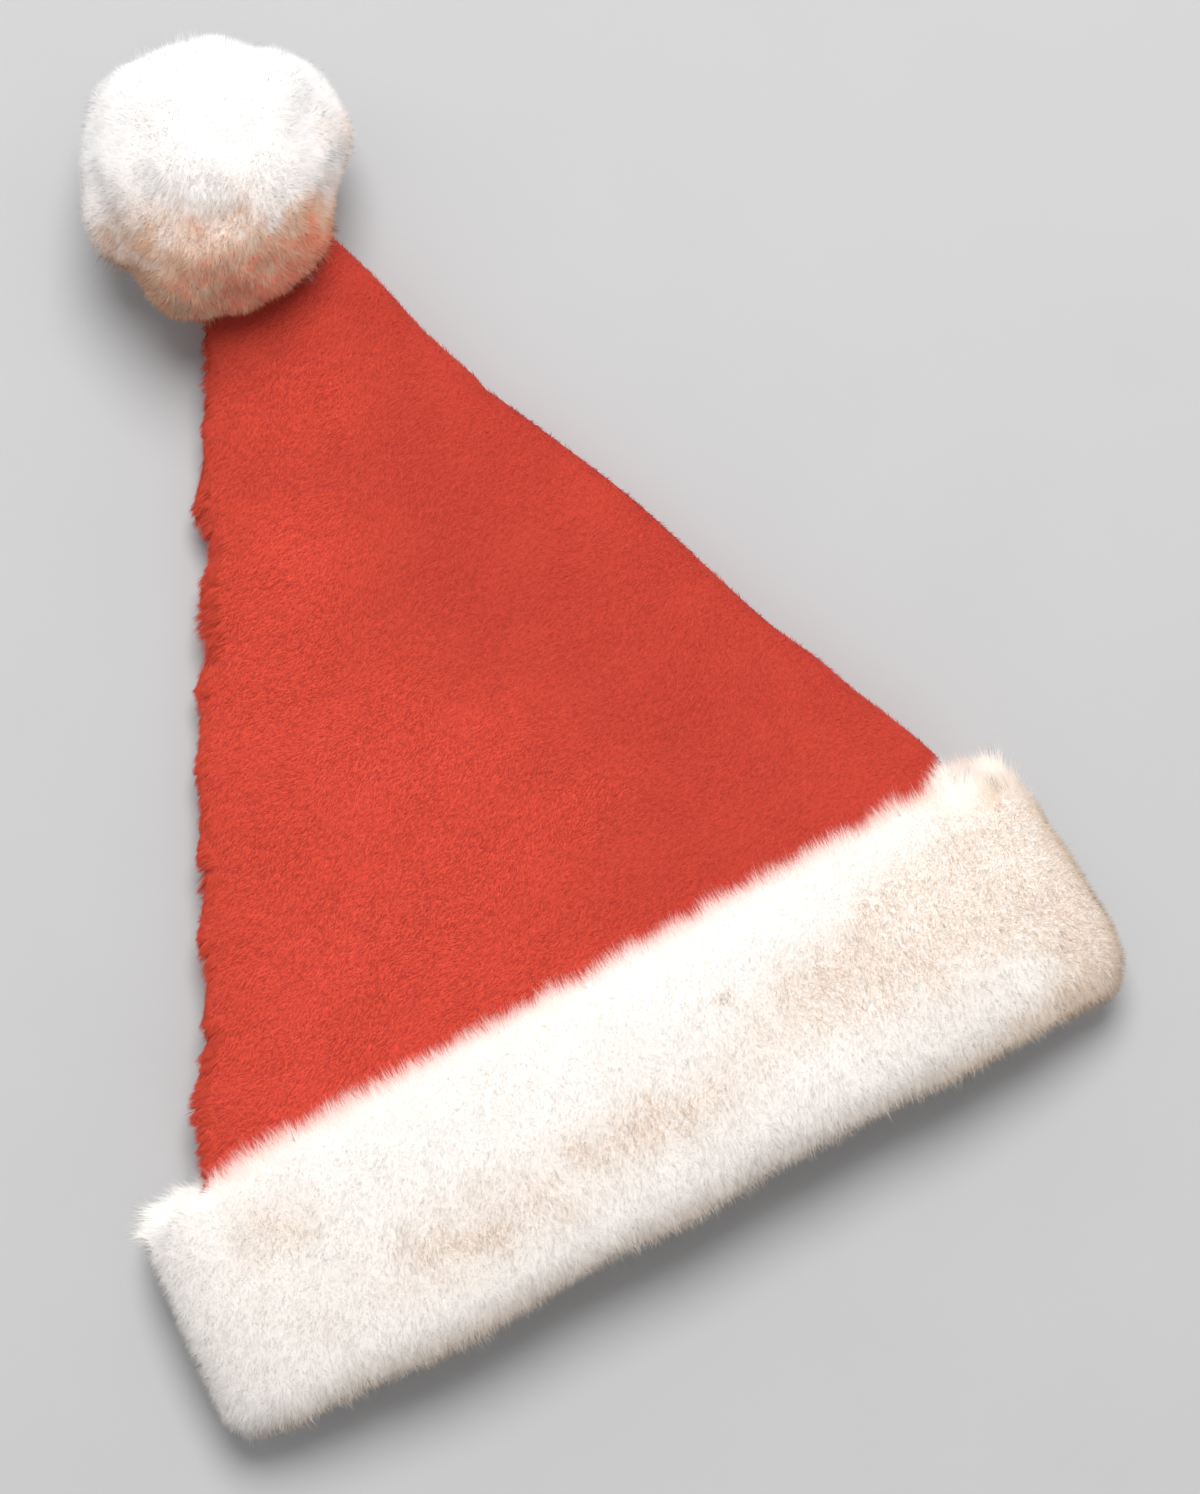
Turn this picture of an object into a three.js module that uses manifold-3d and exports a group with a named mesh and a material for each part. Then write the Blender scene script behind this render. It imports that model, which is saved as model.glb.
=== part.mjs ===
// A plush Santa hat lying on a surface: a hollow red crown, a thick white band folded round
// its hem, and a white pompom sewn over its tip. Millimetres, +Z up, the surface at z = 0.
import * as THREE from "three";
import { mergeVertices } from "three/addons/utils/BufferGeometryUtils.js";
import Module from "manifold-3d";

const wasm = await Module();
wasm.setup();

// Every table below has x across the hat from the band's middle, y from the band's lower edge
// towards the pompom, and z up from the surface.

// Sizes shared by the sewn pieces
const columns = 60; // facets round the crown and the band
const seamGap = 0.8; // clearance between pieces that are sewn to each other
const foldBluntness = 3; // roundness of the side folds: 2 is an ellipse, more is blunter
const weldDistance = 1e-3; // points closer than this are one point
const normalStep = 0.02; // turn in radians over which a surface's direction is taken
const tiny = 1e-6;

// Crown: a row for each section from the hem to the tip, between its two side folds
const crownWall = 2.5;
const hemHeight = 15;
const crownSections = [
  { y: 15, left: -138, right: 141, under: 7.5, over: 34.5 },
  { y: 50, left: -133, right: 139, under: 7.5, over: 34.5 },
  { y: 88, left: -121, right: 131, under: 5, over: 32 },
  { y: 124, left: -101, right: 114, under: 1.5, over: 27.5 },
  { y: 164, left: -80, right: 98, under: 0.8, over: 24.5 },
  { y: 204, left: -59, right: 84, under: 0.8, over: 22 },
  { y: 244, left: -37, right: 66, under: 1.2, over: 20 },
  { y: 284, left: -14, right: 53, under: 6.5, over: 21.5 },
  { y: 304, left: -2, right: 46.5, under: 11.5, over: 25.5 },
  { y: 322, left: 6, right: 40, under: 15.5, over: 27 },
  { y: 338, left: 16, right: 30, under: 19, over: 25 },
];
const crownRingsAt = [15, 35, 46, 82, 104, 126, 148, 170, 192, 214, 236, 256, 275, 293, 310, 324, 333, 338];
const crownTipY = 341;
const hollowTipY = 326;
const roomEnd = 4; // how far the room for the crown's tip reaches past its last ring

// Soft dents in the crown's upper layer; a depth below zero is a swelling
const crownDents = [
  { x: -64, y: 168, wide: 22, long: 14, depth: 2.4 },
  { x: -44, y: 207, wide: 17, long: 8, depth: 1.8 },
  { x: 26, y: 186, wide: 40, long: 22, depth: 1.6 },
  { x: 12, y: 268, wide: 30, long: 9, depth: 1.2 },
  { x: -26, y: 178, wide: 34, long: 12, depth: -1.8 },
  { x: -14, y: 240, wide: 18, long: 14, depth: -1.5 },
  { x: 15, y: 141, wide: 32, long: 11, depth: -1.6 },
  { x: 70, y: 128, wide: 26, long: 16, depth: 1.4 },
];

// Band: a row for each section of its outside, from the rolled lower edge to the fluffy top edge
const bandSections = [
  { y: 3, left: -147.5, right: 147, over: 36.5 },
  { y: 15, left: -153, right: 152.5, over: 43.5 },
  { y: 35, left: -151.5, right: 152, over: 45.5 },
  { y: 56, left: -150.5, right: 150.5, over: 45.5 },
  { y: 72, left: -148.5, right: 148.5, over: 43 },
  { y: 85, left: -147.5, right: 144, over: 38.5 },
];
const bandTop = 85;
const restDepth = 3; // how far the lower side would sag below the surface that flattens it
const innerLegThick = 4;

// Band's section: the outer leg runs from the crown (share 0) to the fur's outside (share 1),
// the inner leg from the crown's inside (share 0) to the head side (share 1)
const bandFold = 3; // height of the rolled lower edge
const bandProfile = [
  { leg: "outer", y: bandTop, share: 0.66 },
  { leg: "outer", y: 80, share: 0.96 },
  { leg: "outer", y: 66, share: 1 },
  { leg: "outer", y: 46, share: 1 },
  { leg: "outer", y: 28, share: 1 },
  { leg: "outer", y: 14, share: 0.97 },
  { leg: "outer", y: 6, share: 0.72 },
  { leg: "outer", y: bandFold, share: 0.25 },
  { leg: "inner", y: 4, share: 0.45 },
  { leg: "inner", y: 9, share: 0.95 },
  { leg: "inner", y: 32, share: 1 },
  { leg: "inner", y: 38, share: 0.5 },
  { leg: "inner", y: 35, share: 0 },
  { leg: "inner", y: hemHeight - seamGap, share: 0 },
  { leg: "outer", y: hemHeight - seamGap, share: 0 },
  { leg: "outer", y: 46, share: 0 },
  { leg: "outer", y: 82, share: 0 },
];

// The rolled edge waves a little along the hat
const waveEnd = 13; // height where the wave has died away
const foldWave = [
  { x: -150, rise: 4 },
  { x: -105, rise: 1.5 },
  { x: -65, rise: 0 },
  { x: -30, rise: 2.2 },
  { x: -12, rise: 0.8 },
  { x: 55, rise: 2.4 },
  { x: 90, rise: 0.6 },
  { x: 150, rise: -0.8 },
];

// At each side fold the upper layer's top corner sits lower than the layer behind it
const leftCorner = { drop: 8, reach: 0.17 }; // reach is a share of the half width
const rightCorner = { drop: 12, reach: 0.12 };
const cornerFrom = 40; // height above the lower edge where the drop begins

const bandDents = [
  { x: -65, y: 36, wide: 22, long: 14, depth: 2.2 },
  { x: -112, y: 60, wide: 16, long: 16, depth: 2 },
  { x: -8, y: 38, wide: 24, long: 12, depth: 1.8 },
  { x: 66, y: 48, wide: 20, long: 13, depth: 2.4 },
  { x: 108, y: 60, wide: 20, long: 14, depth: 2 },
];

// Pompom: reach of its outline from the centre, by bearing from +X in degrees
const pompomCentre = new THREE.Vector3(22.5, 344, 36);
const pompomRise = 36; // centre to the top
const pompomSink = 38; // centre to the bottom before the surface flattens it
const pompomOutline = [
  { bearing: -90, reach: 39.5 },
  { bearing: -60, reach: 40.5 },
  { bearing: -40, reach: 40.5 },
  { bearing: 0, reach: 39.5 },
  { bearing: 45, reach: 38.5 },
  { bearing: 90, reach: 39 },
  { bearing: 120, reach: 40.5 },
  { bearing: 155, reach: 38.5 },
  { bearing: 185, reach: 39.5 },
  { bearing: 212, reach: 41.5 },
  { bearing: 228, reach: 47 },
  { bearing: 246, reach: 41 },
  { bearing: 270, reach: 39.5 },
];
const pompomDetail = 5; // subdivisions of the head's icosahedron

// A crease runs round the pompom's dome, where the bag is drawn in
const domeAxis = new THREE.Vector3(0.3, 0.26, 0.92).normalize();
const domeHalfAngle = 0.86; // radians from the axis to the crease
const creaseWidth = 0.16;
const creaseDepth = 3.2;

// Locks of fur: leaf-shaped, laid along the nap, their roots buried in the backing. Each strays
// from its even place by a share of the spacing.
const lockSides = 4;
const lockOutline = [
  { along: -0.5, wide: 0 },
  { along: 0, wide: 1 },
  { along: 0.6, wide: 0.7 },
  { along: 1, wide: 0 },
];
const fringeLocks = {
  count: 46,
  y: 78,
  share: 0.6,
  out: 0.16,
  length: 8,
  width: 5,
  thick: 2.6,
  stray: 0.3,
};
const pompomLocks = { count: 70, lowest: -0.6, neck: 0.5, out: 0.22, length: 14, width: 9.5, thick: 4 };
const fringeTurn = 1.12 * Math.PI; // how far the fringe runs round, from under one fold to the other
const lockSway = 0.3; // sideways spread of the locks
const lockVariety = 0.25; // spread of their lengths
const locksEnd = 130; // height that no lock of the band reaches
const neckStart = 270; // height that the pompom's neck stays above

// A repeatable spread of values between -1 and 1
function scatter(seed) {
  const wave = Math.sin(seed * 127.1 + 11.7) * 43758.5453;
  return 2 * (wave - Math.floor(wave)) - 1;
}

function tableCurve(rows, key, column) {
  const at = rows.map((row) => row[key]);
  const values = rows.map((row) => row[column]);
  const curve = new THREE.CubicInterpolant(at, values, 1);
  return (position) => curve.evaluate(position)[0];
}

function sectionCurves(rows) {
  const names = Object.keys(rows[0]).filter((name) => name !== "y");
  return Object.fromEntries(names.map((name) => [name, tableCurve(rows, "y", name)]));
}

function dentDepth(dents, x, y) {
  return dents.reduce((sum, dent) => {
    const across = (x - dent.x) / dent.wide;
    const along = (y - dent.y) / dent.long;
    return sum + dent.depth * Math.exp(-across * across - along * along);
  }, 0);
}

// A flattened loop between two side folds, as cloth lies: angle 0 is the right fold
function loopPoint({ left, right, under, over, y }, angle, dents) {
  const across = Math.cos(angle);
  const bulge = Math.sqrt(1 - Math.abs(across) ** foldBluntness);
  const lift = Math.sin(angle) < 0 ? -bulge : bulge;
  const x = (left + right) / 2 + (across * (right - left)) / 2;
  const dent = dentDepth(dents, x, y) * Math.max(lift, 0);
  return new THREE.Vector3(x, y, (under + over) / 2 + (lift * (over - under)) / 2 - dent);
}

function ring(pointAt) {
  return Array.from({ length: columns }, (_, c) => pointAt((2 * Math.PI * c) / columns));
}

function pole(point) {
  return ring(() => point);
}

// Joins rings of points into one surface: a tube with poles at its ends, or a closed loop of rings
function skin(rings, looped) {
  const positions = rings.flat().flatMap((point) => point.toArray());
  const index = [];
  const bands = looped ? rings.length : rings.length - 1;
  for (let r = 0; r < bands; r++) {
    const here = r * columns;
    const next = ((r + 1) % rings.length) * columns;
    for (let c = 0; c < columns; c++) {
      const d = (c + 1) % columns;
      index.push(here + c, here + d, next + d, here + c, next + d, next + c);
    }
  }
  const geometry = new THREE.BufferGeometry();
  geometry.setAttribute("position", new THREE.Float32BufferAttribute(positions, 3));
  geometry.setIndex(index);
  return geometry;
}

function solidOf(geometry) {
  const bare = new THREE.BufferGeometry();
  bare.setAttribute("position", geometry.getAttribute("position"));
  bare.setIndex(geometry.index);
  const merged = mergeVertices(bare, weldDistance);
  const triVerts = [];
  for (let i = 0; i < merged.index.count; i += 3) {
    const [a, b, c] = merged.index.array.subarray(i, i + 3);
    if (a !== b && b !== c && c !== a) triVerts.push(a, b, c);
  }
  const vertProperties = new Float32Array(merged.getAttribute("position").array);
  return new wasm.Manifold(
    new wasm.Mesh({ numProp: 3, vertProperties, triVerts: new Uint32Array(triVerts) }),
  );
}

function geometryOf(solid) {
  const { vertProperties, triVerts } = solid.getMesh();
  const geometry = new THREE.BufferGeometry();
  geometry.setAttribute("position", new THREE.BufferAttribute(vertProperties, 3));
  geometry.setIndex(new THREE.BufferAttribute(triVerts, 1));
  geometry.computeVertexNormals();
  return geometry;
}

function piece(name, solid, colour, roughness) {
  const material = new THREE.MeshStandardMaterial({ color: colour, roughness, metalness: 0 });
  const mesh = new THREE.Mesh(geometryOf(solid), material);
  mesh.name = name;
  return mesh;
}

// Crown
const crownCurves = sectionCurves(crownSections);

function crownPoint(y, angle, inset) {
  const section = {
    y,
    left: crownCurves.left(y) + inset,
    right: crownCurves.right(y) - inset,
    under: crownCurves.under(y) + inset,
    over: crownCurves.over(y) - inset,
  };
  return loopPoint(section, angle, crownDents);
}

function crownRing(y, inset) {
  return ring((angle) => crownPoint(y, angle, inset));
}

function crownAxis(y) {
  const x = (crownCurves.left(y) + crownCurves.right(y)) / 2;
  return new THREE.Vector3(x, y, (crownCurves.under(y) + crownCurves.over(y)) / 2);
}

function crownSolid() {
  const outside = crownRingsAt.map((y) => crownRing(y, 0));
  const inside = crownRingsAt.filter((y) => y < hollowTipY).map((y) => crownRing(y, crownWall));
  const hollowEnd = pole(crownAxis(hollowTipY));
  const tip = pole(crownAxis(crownTipY));
  return solidOf(skin([tip, ...outside.reverse(), ...inside, hollowEnd], false));
}

// The room that a stretch of the crown takes up with its clearance, for the pieces sewn over it
function crownRoom(from, to) {
  const rings = crownRingsAt.filter((y) => y >= from && y <= to);
  const start = pole(crownAxis(rings[0]));
  const end = pole(crownAxis(rings.at(-1) + roomEnd));
  const sides = rings.map((y) => crownRing(y, -seamGap)).reverse();
  return solidOf(skin([end, ...sides, start], false));
}

// Locks
function lockSolid(root, nap, normal, size, seed) {
  const side = new THREE.Vector3().crossVectors(nap, normal).normalize();
  const along = nap.clone().normalize();
  along.addScaledVector(side, lockSway * scatter(seed)).addScaledVector(normal, size.out).normalize();
  side.crossVectors(along, normal).normalize();
  const up = new THREE.Vector3().crossVectors(side, along);
  const length = size.length * (1 + lockVariety * scatter(seed + 0.5));
  const outline = lockOutline.map((row) => new THREE.Vector2(row.wide, row.along * length));
  const geometry = new THREE.LatheGeometry(outline, lockSides);
  geometry.scale(size.width, 1, size.thick);
  geometry.applyMatrix4(new THREE.Matrix4().makeBasis(side, along, up).setPosition(root));
  return solidOf(geometry);
}

// Band
const bandCurves = sectionCurves(bandSections);
const foldRise = tableCurve(foldWave, "x", "rise");

function cornerFall(y, angle) {
  const across = Math.cos(angle);
  const { drop, reach } = across < 0 ? leftCorner : rightCorner;
  const nearFold = THREE.MathUtils.smoothstep(Math.abs(across), 1 - reach, 1);
  const upperLayer = Math.sin(angle) > tiny ? 1 : 0;
  const high = Math.max(0, y - cornerFrom) / (bandTop - cornerFrom);
  return drop * nearFold * upperLayer * high;
}

function bandOutside(y, angle) {
  const section = {
    y,
    left: bandCurves.left(y),
    right: bandCurves.right(y),
    under: -restDepth,
    over: bandCurves.over(y),
  };
  const point = loopPoint(section, angle, bandDents);
  point.z = Math.max(point.z, 0);
  return point;
}

function bandPoint({ leg, y, share }, angle) {
  const outer = leg === "outer";
  const height = outer ? y - cornerFall(y, angle) : y;
  const crownY = Math.max(height, hemHeight);
  const near = crownPoint(crownY, angle, outer ? -seamGap : crownWall + seamGap);
  const far = outer
    ? bandOutside(height, angle)
    : crownPoint(crownY, angle, crownWall + seamGap + innerLegThick);
  const point = near.lerp(far, share);
  point.y = height + foldRise(point.x) * (1 - THREE.MathUtils.smoothstep(height, bandFold, waveEnd));
  return point;
}

function bandNormal(row, angle) {
  const here = bandPoint(row, angle);
  const round = bandPoint(row, angle + normalStep).sub(here);
  const along = bandPoint({ ...row, y: row.y + 1 }, angle).sub(here);
  return along.cross(round).normalize();
}

function fringe() {
  const upwards = new THREE.Vector3(0, 1, 0);
  return Array.from({ length: fringeLocks.count }, (_, i) => {
    const share = (i + 0.5 + fringeLocks.stray * scatter(i)) / fringeLocks.count;
    const angle = Math.PI / 2 + fringeTurn * (share - 0.5);
    const row = { leg: "outer", y: fringeLocks.y, share: fringeLocks.share };
    return lockSolid(bandPoint(row, angle), upwards, bandNormal(row, angle), fringeLocks, i);
  });
}

function bandSolid() {
  const rings = bandProfile.map((row) => ring((angle) => bandPoint(row, angle)));
  const backing = solidOf(skin(rings, true));
  const locks = wasm.Manifold.union(fringe());
  return backing.add(locks.subtract(crownRoom(hemHeight, locksEnd)));
}

// Pompom
const pompomReach = tableCurve(pompomOutline, "bearing", "reach");

function pompomPoint(direction, grow) {
  const degrees = THREE.MathUtils.radToDeg(Math.atan2(direction.y, direction.x));
  const bearing = degrees < -90 ? degrees + 360 : degrees;
  const fromCrease = (direction.angleTo(domeAxis) - domeHalfAngle) / creaseWidth;
  const inwards = grow - creaseDepth * Math.exp(-fromCrease * fromCrease);
  const reach = pompomReach(bearing) + inwards;
  const height = (direction.z > 0 ? pompomRise : pompomSink) + inwards;
  const offset = new THREE.Vector3(direction.x * reach, direction.y * reach, direction.z * height);
  const point = offset.add(pompomCentre);
  point.z = Math.max(point.z, 0);
  return point;
}

function pompomHead() {
  const geometry = new THREE.IcosahedronGeometry(1, pompomDetail);
  const position = geometry.getAttribute("position");
  const direction = new THREE.Vector3();
  for (let i = 0; i < position.count; i++) {
    direction.fromBufferAttribute(position, i).normalize();
    position.setXYZ(i, ...pompomPoint(direction, 0).toArray());
  }
  return solidOf(geometry);
}

// The pompom's fur falls away from the top of its dome
function pompomTufts() {
  const { count, lowest, neck, thick } = pompomLocks;
  const goldenAngle = Math.PI * (3 - Math.sqrt(5));
  const directions = Array.from({ length: count }, (_, i) => {
    const z = 1 - (2 * (i + 0.5)) / count;
    const round = Math.sqrt(1 - z * z);
    return new THREE.Vector3(round * Math.cos(goldenAngle * i), round * Math.sin(goldenAngle * i), z);
  });
  const furred = directions.filter(({ y, z }) => z > lowest && (y > -neck || z > neck));
  return furred.map((direction, i) => {
    const nap = direction.clone().multiplyScalar(direction.dot(domeAxis)).sub(domeAxis);
    const root = pompomPoint(direction, -thick / 2);
    return lockSolid(root, nap, direction, pompomLocks, 500 + i);
  });
}

function pompomSolid() {
  const fused = wasm.Manifold.union([pompomHead(), ...pompomTufts()]);
  return fused.subtract(crownRoom(neckStart, crownTipY));
}

const hat = new THREE.Group();
hat.add(
  piece("crown", crownSolid(), 0xc8382b, 0.9),
  piece("band", bandSolid(), 0xf4efe8, 0.95),
  piece("pompom", pompomSolid(), 0xf6f2ee, 0.95),
);

// The origin is on the surface, under the middle of the hat
const middle = new THREE.Box3().setFromObject(hat).getCenter(new THREE.Vector3());
hat.position.set(-middle.x, -middle.y, 0);

export default hat;
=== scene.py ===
import math

import bmesh
import bpy
import numpy as np
from mathutils import Matrix, Vector, kdtree, noise
from mathutils.bvhtree import BVHTree


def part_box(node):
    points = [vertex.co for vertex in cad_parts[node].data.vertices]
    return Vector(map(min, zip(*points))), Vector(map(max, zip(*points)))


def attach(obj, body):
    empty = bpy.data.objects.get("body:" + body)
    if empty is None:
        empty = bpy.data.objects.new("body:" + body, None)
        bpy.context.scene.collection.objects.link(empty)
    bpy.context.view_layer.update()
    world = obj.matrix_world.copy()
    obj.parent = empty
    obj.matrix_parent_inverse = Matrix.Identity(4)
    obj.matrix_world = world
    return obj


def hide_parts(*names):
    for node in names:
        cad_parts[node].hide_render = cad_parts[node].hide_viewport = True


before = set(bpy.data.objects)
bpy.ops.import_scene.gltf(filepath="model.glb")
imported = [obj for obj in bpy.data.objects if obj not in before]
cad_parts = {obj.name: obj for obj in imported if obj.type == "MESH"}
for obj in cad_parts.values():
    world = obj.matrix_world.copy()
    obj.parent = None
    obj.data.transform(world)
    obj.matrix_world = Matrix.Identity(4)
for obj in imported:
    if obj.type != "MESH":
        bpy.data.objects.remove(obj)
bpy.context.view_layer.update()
scene = bpy.context.scene
mm = 0.001
noise.seed_set(36)  # the same wandering in every run
upwards = np.array([0, 0, 1])
lookReach = 60 * mm  # how far a spot looks for walls
skinFloor = 0.2 * mm  # skins and strands stay a little above the floor
strandFloor = 0.3 * mm
patchFull = 0.6  # patch values up to here run to the patch colour, the rest on to the blush


# Mesh helpers

def addPiece(name, mesh):
    piece = bpy.data.objects.new(name, mesh)
    scene.collection.objects.link(piece)
    return piece


def softCopy(node, name):
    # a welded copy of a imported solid, with quads where two triangles pair up
    shape = bmesh.new()
    shape.from_mesh(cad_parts[node].data)
    bmesh.ops.remove_doubles(shape, verts=shape.verts[:], dist=0.02 * mm)
    bmesh.ops.join_triangles(
        shape, faces=shape.faces[:], angle_face_threshold=0.9, angle_shape_threshold=0.9,
    )
    mesh = bpy.data.meshes.new(name)
    shape.to_mesh(mesh)
    shape.free()
    return addPiece(name, mesh)


def applyAll(piece):
    graph = bpy.context.evaluated_depsgraph_get()
    mesh = bpy.data.meshes.new_from_object(piece.evaluated_get(graph))
    piece.modifiers.clear()
    piece.data = mesh
    mesh.shade_smooth()
    return piece


def arraysOf(mesh):
    mesh.calc_loop_triangles()
    corner = np.empty(len(mesh.loop_triangles) * 3, np.int32)
    mesh.loop_triangles.foreach_get("vertices", corner)
    place = np.empty(len(mesh.vertices) * 3, np.float32)
    mesh.vertices.foreach_get("co", place)
    out = np.empty(len(mesh.vertices) * 3, np.float32)
    mesh.vertices.foreach_get("normal", out)
    place, out = place.reshape(-1, 3).astype(float), out.reshape(-1, 3).astype(float)
    return corner.reshape(-1, 3), place, out


def moveTo(mesh, place):
    mesh.vertices.foreach_set("co", place.astype(np.float32).ravel())
    mesh.update()


def wallOf(piece):
    # the piece's surface, for rays to meet
    return BVHTree.FromObject(piece, bpy.context.evaluated_depsgraph_get())


def unit(vectors):
    return vectors / np.maximum(np.linalg.norm(vectors, axis=-1, keepdims=True), 1e-9)


def ease(value, low, high):
    t = np.clip((value - low) / (high - low), 0, 1)
    return t * t * (3 - 2 * t)


def drift(place, size, shift):
    # smooth wandering vectors, one for each place, about 1 long at most
    shift = Vector((shift, shift, shift))
    return np.array([noise.noise_vector(Vector(p) / size + shift) for p in place])


def freeRoom(place, out, walls):
    # how far each spot looks straight out before it meets a wall
    room = np.full(len(place), lookReach)
    for i, (spot, way) in enumerate(zip(place, out)):
        way = Vector(way)
        start = Vector(spot) + way * 0.15 * mm  # just off the spot's own skin
        for wall in walls:
            hit = wall.ray_cast(start, way, lookReach)
            if hit[0] is not None:
                room[i] = min(room[i], hit[3])
    return room


def keepLargest(piece):
    # drops specks that the remesh leaves beside the body
    shape = bmesh.new()
    shape.from_mesh(piece.data)
    left, groups = set(shape.verts), []
    while left:
        group, front = set(), [next(iter(left))]
        while front:
            vert = front.pop()
            if vert in left:
                left.discard(vert)
                group.add(vert)
                front += [edge.other_vert(vert) for edge in vert.link_edges]
        groups.append(group)
    groups.sort(key=len)
    bmesh.ops.delete(shape, geom=[v for group in groups[:-1] for v in group], context="VERTS")
    shape.to_mesh(piece.data)
    shape.free()


def relax(piece, rounds, hold):
    # evens out the bumps of the locks; hold runs from 0, free to move, to 1, kept in place
    mesh = piece.data
    ends = np.empty(len(mesh.edges) * 2, np.int32)
    mesh.edges.foreach_get("vertices", ends)
    ends = ends.reshape(-1, 2)
    mine, other = np.concatenate([ends, ends[:, ::-1]]).T
    place = arraysOf(mesh)[1]
    count = np.bincount(mine, minlength=len(place))[:, None]
    for _ in range(rounds):
        # each round goes halfway to the middle of the neighbours
        sums = [np.bincount(mine, place[other, axis], len(place)) for axis in range(3)]
        place += 0.5 * (1 - hold)[:, None] * (np.stack(sums, 1) / count - place)
    moveTo(mesh, place)


def drawIn(piece, depth, most):
    # moves a skin inwards by a depth for each vertex, by less where the piece is thin
    place, out = arraysOf(piece.data)[1:]
    thick = freeRoom(place, -out, [wallOf(piece)])
    place -= out * np.minimum(depth, thick * most)[:, None]
    place[:, 2] = np.maximum(place[:, 2], skinFloor)
    moveTo(piece.data, place)


def waveFold(piece, side, bumps):
    # pushes one side fold out and in; bumps are y and outward push in millimetres
    row, near, far = 3, 3 * mm, 24 * mm  # the push fades from near to far behind the fold
    place = arraysOf(piece.data)[1]
    line = np.floor(place[:, 1] / (row * mm)).astype(int)
    lines = np.unique(line)
    reach = [(side * place[line == k, 0]).max() for k in lines]
    edge = np.interp(place[:, 1], (lines + 0.5) * row * mm, reach)
    push = np.interp(place[:, 1] / mm, *np.array(bumps[::-1]).T)
    place[:, 0] += side * push * mm * (1 - ease(edge - side * place[:, 0], near, far))
    moveTo(piece.data, place)


def puffOutline(piece, middle, puffs):
    # pushes a ball's outline out and in; puffs are degrees round from +X and push in millimetres
    place = arraysOf(piece.data)[1]
    way = place[:, :2] - np.array(middle) * mm
    reach = np.linalg.norm(way, axis=1)
    turn = np.degrees(np.arctan2(way[:, 1], way[:, 0]))
    push = np.interp(turn, *np.array(puffs).T, period=360) * mm
    push *= ease(reach / reach.max(), 0.5, 0.95)  # the middle of the ball stays
    place[:, :2] += unit(way) * push[:, None]
    moveTo(piece.data, place)


# Fur helpers

def scatterRoots(piece, weight, count, rng):
    # weight is one number for each vertex
    corner, place, out = arraysOf(piece.data)
    a, b, c = place[corner[:, 0]], place[corner[:, 1]], place[corner[:, 2]]
    share = np.linalg.norm(np.cross(b - a, c - a), axis=1) * weight[corner].mean(1)
    total = np.cumsum(share)
    spot = (np.arange(count) + rng.random(count)) / count * total[-1]
    face = np.searchsorted(total, spot).clip(0, len(corner) - 1)
    u, v = rng.random((2, count))
    over = u + v > 1
    u, v = np.where(over, 1 - u, u), np.where(over, 1 - v, v)
    mix = np.stack([1 - u - v, u, v], 1)[:, :, None]
    mine = corner[face]
    return (place[mine] * mix).sum(1), unit((out[mine] * mix).sum(1)), mine, mix


def growStrands(place, out, nap, length, look, rng):
    # roots and tips; combed strands lie over along the nap, free ones run straight along it
    count = len(place)
    length = length * (1 + look["variety"] * rng.uniform(-1, 1, count))
    flat = nap - (nap * out).sum(1, keepdims=True) * out
    side = unit(np.cross(out, flat))
    along = unit(unit(flat) + side * look["stray"] * rng.normal(size=(count, 1)))
    pull = 1 if look["combed"] else np.clip(np.linalg.norm(flat, axis=1), 0, 1)
    lean = look["lean"] * pull + look["leanSpread"] * rng.normal(size=count)
    heading = out * np.cos(lean)[:, None] + along * np.sin(lean)[:, None]
    if look["free"]:
        heading = unit(unit(nap) + look["leanSpread"] * rng.normal(size=(count, 3)))
    root = place - out * look["sink"]
    return root, root + heading * length[:, None]


def drawTufts(root, tip, look, rng):
    # strands lean over to the nearest guide, so that tips gather in tufts
    guides = rng.choice(len(root), len(root) // look["perTuft"], replace=False)
    tree = kdtree.KDTree(len(guides))
    for i, guide in enumerate(guides):
        tree.insert(root[guide], i)
    tree.balance()
    mine = guides[[tree.find(spot)[1] for spot in root]]
    hold = look["tuft"] * rng.uniform(0.6, 1, len(root))
    return tip + (tip[mine] - tip) * hold[:, None] + rng.normal(size=tip.shape) * look["frizz"]


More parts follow.
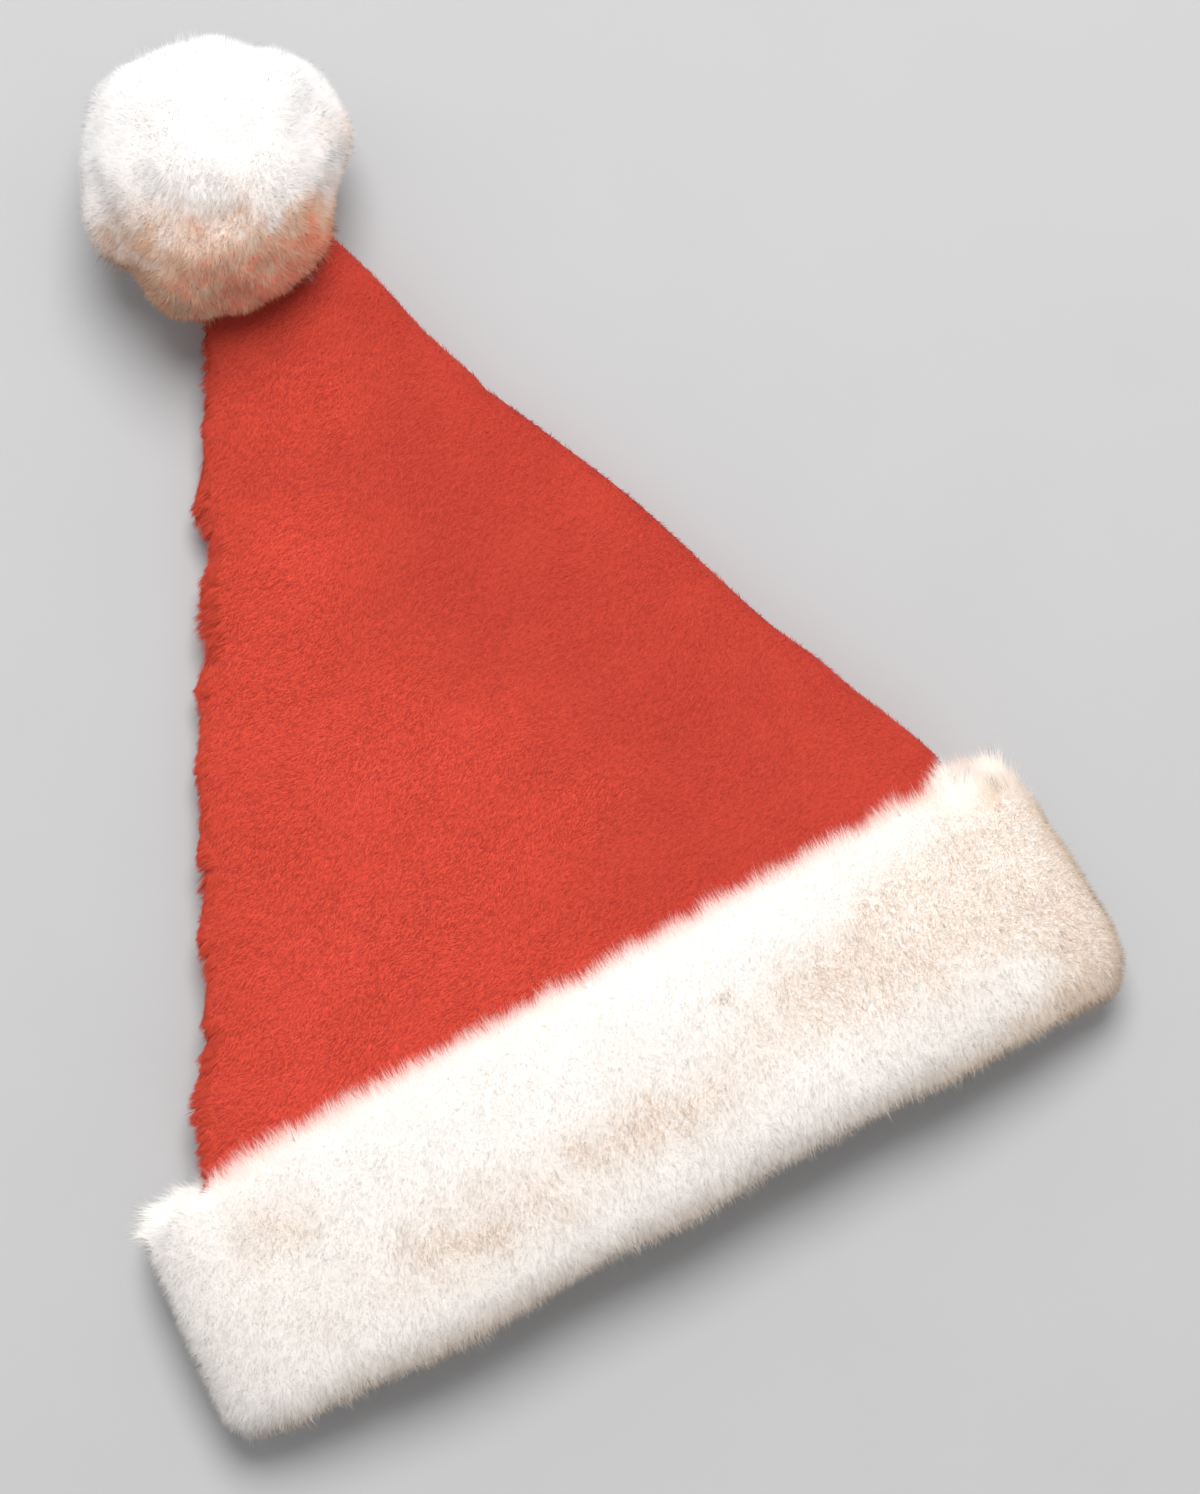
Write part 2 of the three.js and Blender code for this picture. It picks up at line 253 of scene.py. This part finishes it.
def strandMesh(name, root, tip, out, patch, look, rng):
    # flat blades that taper to a point, with smooth normals that follow the skin below
    count = len(root)
    for ends in (root, tip):
        ends[:, 2] = np.maximum(ends[:, 2], strandFloor + strandFloor * rng.random(count))
    heading = unit(tip - root)
    # strands on the sides show their flat to the sky
    facing = out + 0.8 * upwards * np.clip(out[:, 2:] + 0.4, 0, 1)
    side = unit(np.cross(heading, facing + look["roll"] * rng.normal(size=(count, 3))))
    own = np.cross(side, heading)
    turn = np.where((own * facing).sum(1, keepdims=True) < 0, -1, 1)
    side, own = side * turn, own * turn
    half = side * look["width"] / 2 * (0.75 + 0.5 * rng.random((count, 1)))
    faces = np.arange(3 * count).reshape(-1, 3)
    mesh = bpy.data.meshes.new(name)
    mesh.from_pydata(np.stack([root - half, root + half, tip], 1).reshape(-1, 3), [], faces)
    mesh.shade_smooth()
    normal = unit(out * look["soft"] + own * (1 - look["soft"]) + look["lift"] * upwards)
    mesh.normals_split_custom_set_from_vertices(np.repeat(normal, 3, axis=0))
    # red runs along the strand, green is its own chance, blue the patch it grows in, painted shade
    # and light among its marks
    facts = np.ones((count, 3, 4), np.float32)
    facts[:, :, 0] = [0, 0, 1]
    facts[:, :, 1] = rng.random((count, 1))
    facts[:, :, 2] = patch[:, None]
    strand = mesh.color_attributes.new("strand", "FLOAT_COLOR", "POINT")
    strand.data.foreach_set("color", facts.ravel())
    # each strand has a small cell of its own on the map
    cells = math.ceil(math.sqrt(count))
    cell = np.stack([np.arange(count) % cells, np.arange(count) // cells], 1)
    blade = np.array([(0.1, 0.1), (0.9, 0.1), (0.5, 0.9)])
    spots = (cell[:, None] + blade) / cells
    layer = mesh.uv_layers.new(name="OFBake")
    layer.uv.foreach_set("vector", spots.astype(np.float32).ravel())
    return addPiece(name, mesh)


# Materials

def newMaterial(name):
    material = bpy.data.materials.new(name)
    material.use_nodes = True
    tree = material.node_tree
    return material, tree, tree.nodes["Principled BSDF"]


def addNode(tree, kind, **values):
    node = tree.nodes.new(kind)
    for key, value in values.items():
        setattr(node, key, value)
    return node


def setInputs(node, values):
    for name, value in values.items():
        node.inputs[name].default_value = value


def mixColours(tree, factor, first, second, blend="MIX"):
    node = addNode(tree, "ShaderNodeMix", data_type="RGBA", blend_type=blend)
    for number, value in ((0, factor), (6, first), (7, second)):  # the colour sockets
        if isinstance(value, bpy.types.NodeSocket):
            tree.links.new(value, node.inputs[number])
        else:
            node.inputs[number].default_value = value
    return node.outputs[2]


def noiseOf(tree, size, detail=3.0):
    # cloudy values with features about size metres wide
    where = addNode(tree, "ShaderNodeTexCoord")
    cloud = addNode(tree, "ShaderNodeTexNoise")
    setInputs(cloud, {"Scale": 1 / size, "Detail": detail, "Roughness": 0.55})
    tree.links.new(where.outputs["Object"], cloud.inputs["Vector"])
    return cloud.outputs["Fac"]


def spread(tree, value, low, high, first=0.0, second=1.0):
    node = addNode(tree, "ShaderNodeMapRange", interpolation_type="SMOOTHSTEP")
    tree.links.new(value, node.inputs[0])
    for i, number in enumerate((low, high, first, second)):
        node.inputs[i + 1].default_value = number
    return node.outputs[0]


def furMaterial(look):
    material, tree, skin = newMaterial(look["name"])
    strand = addNode(tree, "ShaderNodeVertexColor", layer_name="strand")
    parts = addNode(tree, "ShaderNodeSeparateColor")
    tree.links.new(strand.outputs["Color"], parts.inputs[0])
    along, own, patch = parts.outputs[0], parts.outputs[1], parts.outputs[2]
    # strands are darker at the root than at the tip: painted shade deep in the pile
    colour = mixColours(tree, spread(tree, along, 0.0, 0.8), look["root"], look["tip"])
    cloud = spread(tree, noiseOf(tree, look["cloudSize"]), 0.42, 0.68, 0, look["cloud"])
    colour = mixColours(tree, cloud, colour, look["warm"])
    # patch and blush give the cloth's cream and tan and a grey stain, and also painted shade,
    # painted light and painted red reflection where the coats set them
    colour = mixColours(tree, spread(tree, patch, 0, patchFull), colour, look["patch"])
    colour = mixColours(tree, spread(tree, patch, patchFull, 1), colour, look["blush"])
    speckle = spread(tree, own, 0, 1, 0, look["speckle"])
    colour = mixColours(tree, speckle, colour, look["deep"], "MULTIPLY")
    tree.links.new(colour, skin.inputs["Base Color"])
    setInputs(skin, {
        "Roughness": look["roughness"],
        "Specular IOR Level": 0.25,
        "Sheen Weight": look["sheen"],
        "Sheen Roughness": 0.5,
        "Sheen Tint": look["tip"],
    })
    return material


def backingMaterial(look):
    # woven ground of the plush, seen between the strands and on the wrong side; its darker tone is
    # partly the knit's own and partly painted shade under the pile
    material, tree, skin = newMaterial(look["name"])
    cloud = spread(tree, noiseOf(tree, look["cloudSize"]), 0.35, 0.7)
    colour = mixColours(tree, cloud, look["ground"], look["light"])
    fine = noiseOf(tree, 0.9 * mm, 2.0)
    colour = mixColours(tree, spread(tree, fine, 0.35, 0.75, 0, 0.6), colour, look["deep"])
    tree.links.new(colour, skin.inputs["Base Color"])
    bump = addNode(tree, "ShaderNodeBump")
    setInputs(bump, {"Strength": 0.6, "Distance": 0.4 * mm})
    tree.links.new(fine, bump.inputs["Height"])
    tree.links.new(bump.outputs[0], skin.inputs["Normal"])
    setInputs(skin, {"Roughness": 0.92, "Specular IOR Level": 0.2, "Sheen Weight": 0.15})
    return material


whiteFur = {
    "name": "white plush fur",
    # painted shade: the root colour is darker than the tip
    "root": (0.92, 0.89, 0.855, 1),
    "tip": (0.96, 0.94, 0.91, 1),
    "warm": (0.93, 0.895, 0.855, 1),
    # patch: the cloth's cream and painted shade on the band
    "patch": (0.76, 0.61, 0.48, 1),
    "blush": (0.40, 0.38, 0.37, 1),
    "deep": (0.93, 0.91, 0.90, 1),
    "cloudSize": 14 * mm,
    "cloud": 0.6,
    "speckle": 0.4,
    "roughness": 0.85,
    "sheen": 0.12,
}
# pink tips: painted red light bounced up from the crown beneath the fringe
fringeFurRedBounce = dict(
    whiteFur,
    name="white fringe fur with painted red bounce",
    tip=(0.95, 0.68, 0.62, 1),
    warm=(0.94, 0.82, 0.78, 1),
)
# patch: the fur's own tan and painted shade below the dome; blush: painted red light reflected
# from the crown
pompomFur = dict(
    whiteFur,
    name="white pompom fur",
    # painted shade: the root colour is darker than the tip
    root=(0.90, 0.885, 0.88, 1),
    tip=(0.93, 0.92, 0.92, 1),
    warm=(0.91, 0.885, 0.865, 1),
    patch=(0.77, 0.49, 0.335, 1),
    blush=(0.90, 0.30, 0.19, 1),
)
redPile = {
    "name": "red plush pile",
    # painted shade: the root colour is darker than the tip
    "root": (0.58, 0.057, 0.031, 1),
    "tip": (0.70, 0.079, 0.043, 1),
    "warm": (0.65, 0.071, 0.039, 1),
    # patch and blush: lighter reds, painted light on the pile
    "patch": (0.83, 0.094, 0.052, 1),
    "blush": (0.87, 0.106, 0.062, 1),
    "deep": (0.74, 0.66, 0.64, 1),
    "cloudSize": 20 * mm,
    "cloud": 0.8,
    "speckle": 0.4,
    "roughness": 0.8,
    "sheen": 0.12,
}
# darker than the white fur: the knit's own tone and painted shade under the pile
whiteGround = {
    "name": "white plush backing",
    "ground": (0.89, 0.84, 0.80, 1),
    "light": (0.93, 0.89, 0.86, 1),
    "deep": (0.82, 0.76, 0.71, 1),
    "cloudSize": 16 * mm,
}
# darker than the red pile: the knit's own tone and painted shade under the pile
redGround = {
    "name": "red plush backing",
    "ground": (0.47, 0.042, 0.027, 1),
    "light": (0.56, 0.055, 0.035, 1),
    "deep": (0.36, 0.028, 0.018, 1),
    "cloudSize": 22 * mm,
}
whiteStrands = furMaterial(whiteFur)
fringeRedBounceStrands = furMaterial(fringeFurRedBounce)
pompomStrands = furMaterial(pompomFur)
redStrands = furMaterial(redPile)
whiteBacking = backingMaterial(whiteGround)
redBacking = backingMaterial(redGround)
print("materials ready")


# Ground shapes below the fur

crownBody = {
    "levels": 2,
    "left": [
        (108, 0), (98, -1.2), (86, 0.8), (76, 0), (67, 3.4), (59, -1.8), (53, -4), (44, 0.9),
        (37, -1.4), (27, -3.6), (19, 2.3), (12, -0.8), (-4, 1.5), (-15, -1), (-23, 2.2),
        (-30, -1.4), (-38, -1), (-48, 2.2), (-53, -2.2), (-59, -2.4), (-66, 0.6), (-72, -2),
        (-83, 0.6), (-91, 1.9), (-97, 0.3), (-104, 0),
    ],
    "right": [
        (100, 0), (92, -0.6), (80, -1.4), (70, -0.8), (61, -0.5), (56, -1.4), (50, -0.2),
        (40, 0.4), (6, 1), (-20, 0.6), (-45, 0.1), (-60, 1.6), (-72, 0.6), (-104, 0),
        (-110, -3.2), (-124, -5), (-140, 0),
    ],
}
crown = softCopy("crown", "crownCloth")
crown.modifiers.new("round", "SUBSURF").levels = crownBody["levels"]
applyAll(crown)
waveFold(crown, -1, crownBody["left"])
waveFold(crown, 1, crownBody["right"])
crown.data.materials.append(redBacking)
crownWall = wallOf(crown)

bandBody = {
    "voxel": 2.0 * mm, "rounds": 24, "drawIn": 1.8 * mm, "thin": 0.2, "lump": 0.4 * mm,
    "earX": (114, 130), "earY": (-140, -124), "earHold": 0.92,
    "legRoom": 25 * mm, "legHold": 0.7,
}
pompomBody = {
    "voxel": 2.0 * mm, "rounds": 60, "drawIn": 0.8 * mm, "thin": 0.3, "lump": 4.6 * mm,
    "middle": (20.5, 147),
    "puffs": [
        (40, 0), (48, 0.3), (58, 2.6), (70, 3), (80, -0.5), (92, -1.2), (104, 0),
        (272, 0), (302, -1), (317, -4), (327, -5), (340, -3), (352, 0),
    ],
}
softLumps = {
    "large": 19 * mm, "small": 8 * mm, "smallShare": 0.4, "topLoss": 0.55,
    "seam": (1 * mm, 7 * mm),  # no lumps where the red cloth is this close
}


def bandHold(place, room):
    # the side folds' ears and the inner leg keep their form
    ear = ease(np.abs(place[:, 0]) / mm, *bandBody["earX"])
    ear *= ease(place[:, 1] / mm, *bandBody["earY"])
    leg = room < bandBody["legRoom"]
    return np.maximum(bandBody["earHold"] * ear, bandBody["legHold"] * leg)


def pompomHold(place, room):
    return np.zeros(len(place))


band = softCopy("band", "bandPlush")
pompom = softCopy("pompom", "pompomBall")
for piece, body, hold in ((band, bandBody, bandHold), (pompom, pompomBody, pompomHold)):
    remesh = piece.modifiers.new("even", "REMESH")
    remesh.mode = "VOXEL"
    remesh.voxel_size = body["voxel"]
    applyAll(piece)
    keepLargest(piece)
    place, out = arraysOf(piece.data)[1:]
    relax(piece, body["rounds"], hold(place, freeRoom(place, out, [wallOf(piece)])))
    place, out = arraysOf(piece.data)[1:]
    clear = ease(freeRoom(place, out, [crownWall]), *softLumps["seam"])
    small = softLumps["smallShare"] * drift(place, softLumps["small"], 0.9)[:, 0]
    lumps = drift(place, softLumps["large"], 4.8)[:, 1] + small
    # they show more on the outline than on top
    lumps *= 1 - softLumps["topLoss"] * np.clip(out[:, 2], 0, 1)
    drawIn(piece, (body["drawIn"] + body["lump"] * lumps) * clear, body["thin"])
    piece.data.materials.append(whiteBacking)
puffOutline(pompom, pompomBody["middle"], pompomBody["puffs"])
print("ground shapes", [len(p.data.polygons) for p in (crown, band, pompom)])
walls = {"crown": wallOf(crown), "band": wallOf(band), "pompom": wallOf(pompom)}


# Coats of fur

leastRoom = 1.2 * mm  # no fur in narrower gaps
floorFacing = -0.5  # skin that faces further down lies on the floor, with thinner fur


def coatOn(base, name, look, room, weight, napOf, patchOf, material):
    rng = np.random.default_rng(look["seed"])
    place, out, corner, mix = scatterRoots(base, weight, look["count"], rng)
    space = (room[corner] * mix[:, :, 0]).sum(1)  # strands fill half of it at most
    length = look["length"] if look["free"] else np.minimum(look["length"], 0.5 * space)
    length = length * (1 + look["patchy"] * drift(place, 9 * mm, 5.7)[:, 0])
    root, tip = growStrands(place, out, napOf(place), length, look, rng)
    tip = drawTufts(root, tip, look, rng)
    coat = strandMesh(name, root, tip, out, patchOf(place), look, rng)
    coat.data.materials.append(material)
    coat.visible_shadow = look["shade"]
    print(name, look["count"], "strands")
    return coat


def patchesAt(place, patches):
    # soft blotches: x, y, width, length in millimetres and strength
    amount = np.zeros(len(place))
    for x, y, wide, long, strength in patches:
        across = (place[:, 0] / mm - x) / wide
        along = (place[:, 1] / mm - y) / long
        amount += strength * np.exp(-across ** 2 - along ** 2)
    ragged = 1 + 0.6 * drift(place, 7 * mm, 9.2)[:, 1]
    return np.clip(amount * ragged, 0, 1)


# Band fur: short dense pile all over, longer hair that stands out at the edges

bandPile = {
    "count": 140000, "length": 2.7 * mm, "width": 0.19 * mm, "variety": 0.3, "patchy": 0.3,
    "lean": 0.62, "leanSpread": 0.35, "stray": 0.9, "sink": 0.4 * mm,
    "perTuft": 20, "tuft": 0.25, "frizz": 0.2 * mm, "roll": 0.4, "soft": 0.88, "lift": 0.25,
    "combed": False, "free": False, "shade": False, "seed": 11,
}
bandTopPile = dict(bandPile, count=60000, shade=True, seed=15)
bandSidePile = dict(bandPile, count=72000, shade=True, seed=12)
bandHair = dict(
    bandPile, count=26000, length=3.5 * mm, width=0.17 * mm, perTuft=9, tuft=0.4, seed=13,
)
bandFringe = dict(
    bandPile, count=42000, length=5.8 * mm, width=0.11 * mm, variety=0.75, leanSpread=0.28,
    perTuft=10, tuft=0.25, frizz=0.25 * mm, lift=0.4, free=True, seed=14,
)
bandEars = dict(
    bandFringe, count=9000, length=5.8 * mm, width=0.17 * mm, perTuft=16, lift=0.3, seed=17,
)
bandCorners = dict(
    bandEars, count=3000, length=5.4 * mm, perTuft=18, variety=0.5, lift=0, seed=18,
)
bandHem = dict(
    bandFringe, count=8000, length=3.6 * mm, width=0.18 * mm, perTuft=14, tuft=0.45, seed=16,
)


def fringeNap(place):
    return np.array([0.0, 1.0, -0.25]) + 0.5 * drift(place, 7 * mm, 2.6)


def earNap(place):
    # the left ear points outwards
    nap = np.tile([0.1, 0.9, 0.2], (len(place), 1))
    nap[place[:, 0] < 0] = [-0.9, 0.45, 0.0]
    return nap + 0.6 * drift(place, 6 * mm, 7.1)


def cornerNap(place):
    return np.array([0.0, 1.0, 0.0]) + 0.4 * drift(place, 6 * mm, 4.2)


def hemNap(place):
    return np.array([0.0, -1.0, -0.1]) + 0.7 * drift(place, 6 * mm, 1.3)


def bandNap(place):
    low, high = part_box("band")
    rise = (place[:, 1] - low.y) / (high.y - low.y)
    nap = np.zeros_like(place)
    nap[:, 1] = 1.6 * ease(rise, 0.78, 0.94) - 0.5
    return nap + 0.8 * drift(place, 16 * mm, 3.1) + 0.5 * drift(place, 6 * mm, 8.4)


# cream blotches of the cloth, and painted shade in the dents and over the right end
creamAndShadePatches = [
    (-66, -156, 24, 13, 0.5), (-13, -157, 28, 12, 0.45), (67, -145, 22, 12, 0.9),
    (128, -143, 18, 15, 0.9), (-110, -132, 14, 13, 0.6), (104, -135, 20, 12, 1.0),
    (-52, -167, 28, 9, 0.3), (21, -156, 30, 11, 0.45), (-109, -166, 18, 12, 0.2),
    (96, -156, 24, 10, 0.5), (142, -152, 14, 30, 0.6), (146, -178, 16, 14, 0.8),
]
greySpeck = [(39.3, -134.5, 2.6, 1.8, 1.7)]


def bandPatch(place):
    # painted shade: creamier and darker along the rolled lower edge and towards the right end,
    # which turns away from the light; the grey speck is a stain
    edge = 0.4 * (1 - ease(place[:, 1] / mm, -190, -174))
    ragged = 1 + 0.8 * drift(place, 13 * mm, 3.3)[:, 0]
    end = 0.14 * ease(place[:, 0] / mm, 55, 140) * ragged
    cream = np.clip(0.7 * patchesAt(place, creamAndShadePatches) + edge + end, 0, patchFull)
    return np.maximum(cream, patchesAt(place, greySpeck))


# where the coats grow: x and y in millimetres, facing is 1 where the skin faces straight up
place, out = arraysOf(band.data)[1:]
room = freeRoom(place, out, [walls["crown"], walls["band"]])
low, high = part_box("band")
x, y, facing = place[:, 0] / mm, place[:, 1] / mm, out[:, 2]
furred = (room > leastRoom) * np.where(facing < floorFacing, 0.3, 1.0)
onTop, onSides = furred * (facing > 0.25), furred * (facing <= 0.25)
mostlySides = furred * (0.35 + 0.65 * (facing < 0.75))
topEdge = ease(place[:, 1], high.y - 13 * mm, high.y - 9 * mm) * (room > 3 * mm) * (facing > -0.2)
overRed = topEdge * (x > -122) * (x < 136)
ears = (np.abs(x - 3) > 119) * (facing > -0.4) * (out[:, 1] > -0.3) * (room > 0.6 * mm)
ears = ears * np.where(x > 0, ease(y, -126, -114), y > -118)
corners = ease(x, 124, 134) * ease(y, -130, -116) * (facing > 0)
lowEdge = (room > 8 * mm) * (out[:, 1] < -0.35) * (place[:, 1] < low.y + 16 * mm)
bandCoats = [
    coatOn(band, name, look, room, weight, napOf, bandPatch, material)
    for name, look, weight, napOf, material in (
        ("bandFringe", bandFringe, overRed, fringeNap, fringeRedBounceStrands),
        ("bandEars", bandEars, ears, earNap, whiteStrands),
        ("bandCorners", bandCorners, corners, cornerNap, whiteStrands),
        ("bandHem", bandHem, lowEdge, hemNap, whiteStrands),
        ("bandPile", bandPile, onTop, bandNap, whiteStrands),
        ("bandTopPile", bandTopPile, onTop, bandNap, whiteStrands),
        ("bandSidePile", bandSidePile, onSides, bandNap, whiteStrands),
        ("bandHair", bandHair, mostlySides, bandNap, whiteStrands),
    )
]


# Pompom fur

pompomPile = dict(bandPile, count=105000, length=2.9 * mm, soft=0.85, lift=0.62, seed=21)
pompomTopPile = dict(pompomPile, count=45000, shade=True, seed=24)
pompomHair = dict(bandHair, count=16000, length=3.6 * mm, lift=0.62, seed=22)
pompomSkirt = dict(
    bandFringe, count=6000, length=4.6 * mm, width=0.18 * mm,
    perTuft=40, tuft=0.5, lift=0.5, seed=23,
)
pompomWisps = dict(
    pompomSkirt, count=6000, length=4.2 * mm, patchy=0.9, perTuft=55, tuft=0.6, lift=0.3, seed=25,
)
domeTop = np.array([0.3, 0.26, 0.92])
tanShadeSide = np.array([-0.33, -0.94, -0.1])
rightShadeSide = np.array([0.7, -0.67, -0.25])
redGlowSide = np.array([0.2, -0.97, -0.1])


def fromMiddle(place):
    # directions out of the middle of the pompom
    low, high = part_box("pompom")
    return unit(place - np.array((low + high) / 2))


def pompomNap(place):
    outwards = fromMiddle(place)
    away = outwards * (outwards @ domeTop)[:, None] - domeTop
    return 0.15 * away + 0.8 * drift(place, 14 * mm, 2.3) + 0.6 * drift(place, 6 * mm, 6.1)


def pompomPatch(place):
    # tan below the dome, partly the fur's own tan and partly painted shade, with painted red light
    # reflected from the red cloth towards it and painted shade on the lower right
    outwards = fromMiddle(place)
    ragged = 0.2 * drift(place, 12 * mm, 7.7)[:, 0] + 0.12 * drift(place, 4 * mm, 2.2)[:, 0]
    down = outwards @ tanShadeSide + ragged
    skirt = 0.25 * ease(down, -0.3, 0.3) + 0.75 * ease(down, 0.1, 0.85)
    # painted shade on the lower right side
    side = 0.55 * ease(outwards @ rightShadeSide + ragged, 0.5, 1.05)
    # painted red light reflected from the red cloth
    red = ease(outwards @ redGlowSide + ragged, 0.4, 1.05)
    tan = patchFull * np.maximum(skirt, side) + (1 - patchFull) * red * skirt
    mottle = 1 + 0.35 * drift(place, 6 * mm, 8.8)[:, 1] + 0.6 * drift(place, 1 * mm, 4.5)[:, 0]
    return np.clip(tan * mottle, 0, 1)


def skirtNap(place):
    return fromMiddle(place) * np.array([1, 1, 0.2]) + 0.5 * drift(place, 6 * mm, 3.9)


def wispNap(place):
    return fromMiddle(place) + 0.8 * drift(place, 8 * mm, 5.3)


place, out = arraysOf(pompom.data)[1:]
room = freeRoom(place, out, [walls["crown"], walls["pompom"]])
facing = out[:, 2]
furred = (room > leastRoom) * np.where(facing < floorFacing, 0.4, 1.0)
nearCrown = np.array([walls["crown"].find_nearest(Vector(p))[3] for p in place])
skirtEdge = (room > leastRoom) * (nearCrown < 9 * mm) * (facing > -0.3)
pompomCoats = [
    coatOn(pompom, name, look, room, weight, napOf, pompomPatch, pompomStrands)
    for name, look, weight, napOf in (
        ("pompomPile", pompomPile, furred, pompomNap),
        ("pompomTopPile", pompomTopPile, furred, pompomNap),
        ("pompomHair", pompomHair, furred, pompomNap),
        ("pompomSkirt", pompomSkirt, skirtEdge, skirtNap),
        ("pompomWisps", pompomWisps, furred * (facing < 0.7), wispNap),
    )
]


# Crown pile: very short, combed to one side, with ragged tufts along that fold

crownPile = {
    "count": 170000, "length": 2.0 * mm, "width": 0.2 * mm, "variety": 0.35, "patchy": 0.2,
    "lean": 1.15, "leanSpread": 0.15, "stray": 0.45, "sink": 0.15 * mm,
    "perTuft": 12, "tuft": 0.18, "frizz": 0.12 * mm, "roll": 0.5, "soft": 0.8, "lift": 0,
    "combed": True, "free": False, "shade": False, "seed": 31,
}
crownNapHair = dict(crownPile, count=60000, shade=True, seed=34)
crownUnderPile = dict(crownPile, count=42000, width=0.25 * mm, seed=32)
crownTufts = {
    "count": 18000, "length": 3.6 * mm, "width": 0.26 * mm, "variety": 0.3, "patchy": 0.9,
    "lean": 0, "leanSpread": 0.2, "stray": 0, "sink": 0.3 * mm,
    "perTuft": 70, "tuft": 0.5, "frizz": 0.15 * mm, "roll": 0.5, "soft": 0.85, "lift": 0.3,
    "combed": True, "free": True, "shade": True, "seed": 33,
}


def crownNap(place):
    nap = np.tile([-0.9, -0.35, 0.0], (len(place), 1))
    return nap + 0.5 * drift(place, 30 * mm, 4.4) + 0.35 * drift(place, 9 * mm, 1.9)


# painted light: lighter patches where the pile catches the light
paintedLightPatches = [
    (-6, 43, 16, 15, 0.3), (-21, 28, 16, 13, 0.3), (-22, -19, 26, 15, 0.35),
    (-44, 3, 14, 17, 0.3), (2, -36, 36, 12, 0.3), (-65, -66, 26, 24, 0.3),
    (-25, -67, 30, 16, 0.3), (30, -62, 22, 12, 0.3), (20, 82, 22, 22, 0.4),
    (-90, -100, 30, 20, 0.3),
]


def crownPatch(place):
    # the left half catches more light on its pile than the right
    left = 1 - ease(place[:, 0] / mm + 0.2 * place[:, 1] / mm, -40, 55)
    return np.clip(0.45 * left + patchesAt(place, paintedLightPatches), 0, 1)


place, out = arraysOf(crown.data)[1:]
facing = out[:, 2]
inside = freeRoom(place, out, [walls["crown"]]) < lookReach - 1 * mm
room = freeRoom(place, out, [walls["band"], walls["pompom"]])
bare = (room > 2.5 * mm) * ~inside  # the red that shows
upper, under = bare * (facing > -0.2), bare * (facing <= -0.2)
leftFold = bare * (out[:, 0] < -0.35) * (facing > -0.15)
crownCoats = [
    coatOn(crown, name, look, room, weight, crownNap, crownPatch, redStrands)
    for name, look, weight in (
        ("crownPile", crownPile, upper),
        ("crownNapHair", crownNapHair, upper),
        ("crownUnderPile", crownUnderPile, under),
        ("crownTufts", crownTufts, leftFold),
    )
]


# Riding: every piece rides on the root body, and the imported solids are hidden

for slot, pieces in (
    ("red_plush", [crown, *crownCoats]),
    ("white_plush", [band, *bandCoats]),
    ("white_fur", [pompom, *pompomCoats]),
):
    for piece in pieces:
        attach(piece, "root")
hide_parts("crown")
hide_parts("band")
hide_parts("pompom")


# Floor, light and camera

floorLook = {
    "half": 4, "cloudSize": 0.05, "roughness": 0.8,
    "dark": (0.55, 0.55, 0.555, 1), "light": (0.575, 0.575, 0.58, 1),
}
floorMaterial, tree, skin = newMaterial("pale floor")
cloud = noiseOf(tree, floorLook["cloudSize"])
mottle = mixColours(tree, cloud, floorLook["dark"], floorLook["light"])
tree.links.new(mottle, skin.inputs["Base Color"])
setInputs(skin, {"Roughness": floorLook["roughness"]})
half = floorLook["half"]
floorMesh = bpy.data.meshes.new("floor")
floorMesh.from_pydata(
    [(-half, -half, 0), (half, -half, 0), (half, half, 0), (-half, half, 0)], [], [(0, 1, 2, 3)],
)
floorMesh.materials.append(floorMaterial)
floor = addPiece("floor", floorMesh)

# the photo looks straight down, turned a little against the hat
photoUp = Vector((0.4741, 0.8805, 0))
photoRight = Vector((0.8805, -0.4741, 0))
aim = Vector((0.0418, -0.0527, 0.025))

studio = {"keySize": 1.6, "keyDistance": 3.0, "keyHeight": 60, "keyPower": 82, "fill": 0.40}
rise = math.radians(studio["keyHeight"])
way = photoUp * math.cos(rise) + Vector((0, 0, math.sin(rise)))
lampData = bpy.data.lights.new("key", "AREA")
lampData.shape = "DISK"
lampData.size = studio["keySize"]
lampData.energy = studio["keyPower"]
lamp = bpy.data.objects.new("key", lampData)
lamp.location = aim + way * studio["keyDistance"]
lamp.rotation_euler = (-way).to_track_quat("-Z", "Y").to_euler()
scene.collection.objects.link(lamp)
world = bpy.data.worlds.new("studio")
world.use_nodes = True
setInputs(world.node_tree.nodes["Background"], {"Color": (1, 1, 1, 1), "Strength": studio["fill"]})
scene.world = world
scene.view_settings.view_transform = "Standard"

view = {"distance": 2.175, "high": 0.4407, "sensor": 36}
camData = bpy.data.cameras.new("photoCamera")
camData.sensor_fit = "VERTICAL"
camData.sensor_height = view["sensor"]
camData.lens = view["sensor"] * view["distance"] / view["high"]
camera = bpy.data.objects.new("photoCamera", camData)
back = Vector((0, 0, 1))
turn = Matrix((photoRight, photoUp, back)).transposed().to_4x4()
camera.matrix_world = Matrix.Translation(aim + back * view["distance"]) @ turn
scene.collection.objects.link(camera)
scene.camera = camera
shown = [piece for piece in scene.objects if piece.type == "MESH" and not piece.hide_render]
print("triangles", sum(len(arraysOf(piece.data)[0]) for piece in shown))
